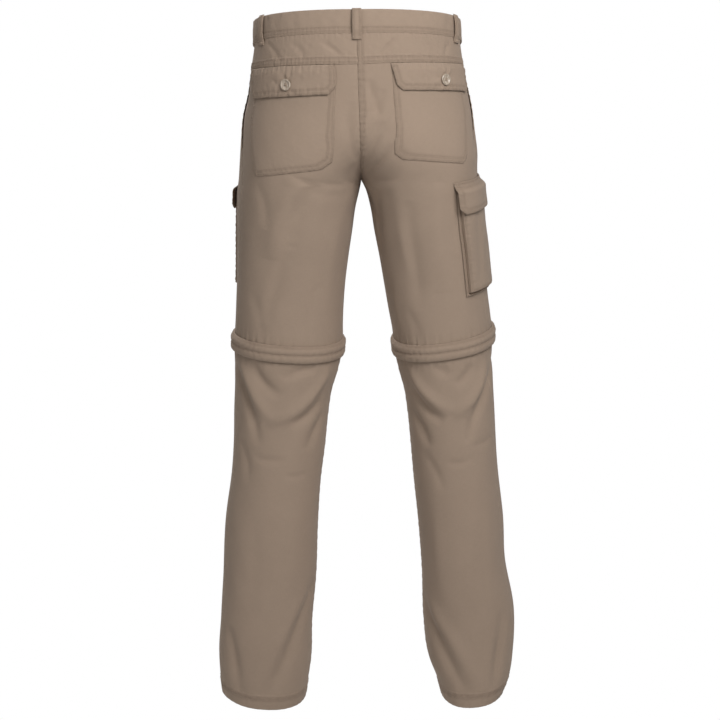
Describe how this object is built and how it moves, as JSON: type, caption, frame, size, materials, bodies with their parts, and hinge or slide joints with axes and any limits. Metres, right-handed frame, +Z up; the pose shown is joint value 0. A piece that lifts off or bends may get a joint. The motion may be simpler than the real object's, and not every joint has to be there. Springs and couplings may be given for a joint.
{
  "type": "convertible zip-off trousers",
  "caption": "Worn-shape cotton trousers whose lower legs zip off at the knee, with patch back pockets, thigh pockets and belt loops.",
  "frame": {"origin": "middle of the waist opening, level with the waistband's top edge at the sides, where the wearer holds the garment up", "axes": "+Z up along the body, +Y towards the garment's back, +X towards the wearer's left"},
  "size_m": [0.4742, 0.2412, 1.0956],
  "materials": {
    "cloth": "matte taupe cotton twill, softly worn",
    "button": "pearly plastic, four holes",
    "zip_tape": "woven zip tape with a plastic coil",
    "zip_slider": "lacquered to match the cloth"
  },
  "bodies": {
    "root": {"waistband": "cloth", "yoke_left": "cloth", "yoke_right": "cloth", "back_left": "cloth", "back_right": "cloth", "front_left": "cloth", "front_right": "cloth", "pocket_facing_left": "cloth", "pocket_facing_right": "cloth", "fly": "cloth", "belt_loop_centre_back": "cloth", "belt_loop_back_left": "cloth", "belt_loop_back_right": "cloth", "belt_loop_front_left": "cloth", "belt_loop_front_right": "cloth", "back_pocket_left": "cloth", "back_pocket_right": "cloth", "back_flap_left": "cloth", "back_flap_right": "cloth", "leg_pocket_left": "cloth", "leg_pocket_right": "cloth", "leg_flap_left": "cloth", "leg_flap_right": "cloth", "zip_cover_left": "cloth", "zip_cover_right": "cloth", "leg_zip_left": "zip_tape", "leg_zip_right": "zip_tape", "leg_zip_slider_left": "zip_slider", "leg_zip_slider_right": "zip_slider", "lower_back_left": "cloth", "lower_back_right": "cloth", "lower_front_left": "cloth", "lower_front_right": "cloth", "button_back_left": "button", "button_back_right": "button", "button_waist": "button"}
  },
  "joints": []
}
